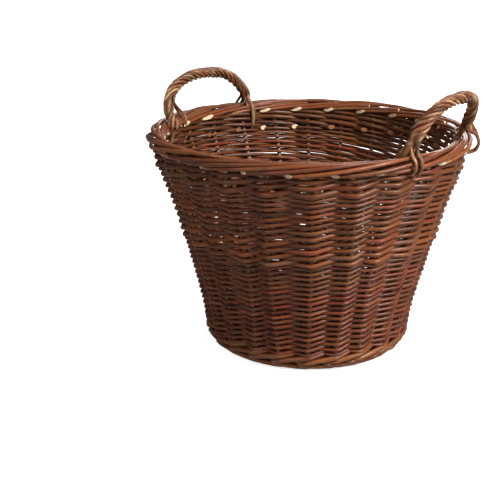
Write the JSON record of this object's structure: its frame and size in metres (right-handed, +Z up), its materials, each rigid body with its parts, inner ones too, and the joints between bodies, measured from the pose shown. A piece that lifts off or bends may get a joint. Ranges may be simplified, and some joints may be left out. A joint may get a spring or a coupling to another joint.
{
  "type": "round willow basket",
  "caption": "Round open willow basket with a leaning woven wall, a rolled border and two roped side handles, for mushrooms, potatoes or logs.",
  "frame": {"origin": "on the floor, under the centre of the basket", "axes": "+Z up; +X towards the right handle, -X towards the left handle"},
  "size_m": [0.449, 0.449, 0.3784],
  "materials": {
    "base_bark": "unpeeled willow, dull",
    "stake_bark": "unpeeled willow, satin",
    "siding_bark": "unpeeled willow, satin",
    "wale_bark": "unpeeled willow butts, satin",
    "handle_bark": "unpeeled willow, rubbed by hands"
  },
  "bodies": {
    "root": {"base_stick_slit_1": "base_bark", "base_stick_slit_2": "base_bark", "base_stick_slit_3": "base_bark", "base_stick_through_1": "base_bark", "base_stick_through_2": "base_bark", "base_stick_through_3": "base_bark", "base_weaver_1": "base_bark", "base_weaver_2": "base_bark", "bottom_wale": "wale_bark", "handle_left": "handle_bark", "handle_right": "handle_bark", "siding_weaver_01": "siding_bark", "siding_weaver_02": "siding_bark", "siding_weaver_03": "siding_bark", "siding_weaver_04": "siding_bark", "siding_weaver_05": "siding_bark", "siding_weaver_06": "siding_bark", "siding_weaver_07": "siding_bark", "siding_weaver_08": "siding_bark", "siding_weaver_09": "siding_bark", "siding_weaver_10": "siding_bark", "siding_weaver_11": "siding_bark", "siding_weaver_12": "siding_bark", "siding_weaver_13": "siding_bark", "siding_weaver_14": "siding_bark", "siding_weaver_15": "siding_bark", "siding_weaver_16": "siding_bark", "siding_weaver_17": "siding_bark", "siding_weaver_18": "siding_bark", "siding_weaver_19": "siding_bark", "siding_weaver_20": "siding_bark", "siding_weaver_21": "siding_bark", "siding_weaver_22": "siding_bark", "siding_weaver_23": "siding_bark", "siding_weaver_24": "siding_bark", "stake_01": "stake_bark", "stake_02": "stake_bark", "stake_03": "stake_bark", "stake_04": "stake_bark", "stake_05": "stake_bark", "stake_06": "stake_bark", "stake_07": "stake_bark", "stake_08": "stake_bark", "stake_09": "stake_bark", "stake_10": "stake_bark", "stake_11": "stake_bark", "stake_12": "stake_bark", "stake_13": "stake_bark", "stake_14": "stake_bark", "stake_15": "stake_bark", "stake_16": "stake_bark", "stake_17": "stake_bark", "stake_18": "stake_bark", "stake_19": "stake_bark", "stake_20": "stake_bark", "stake_21": "stake_bark", "stake_22": "stake_bark", "stake_23": "stake_bark", "stake_24": "stake_bark", "top_wale": "wale_bark"}
  },
  "joints": []
}
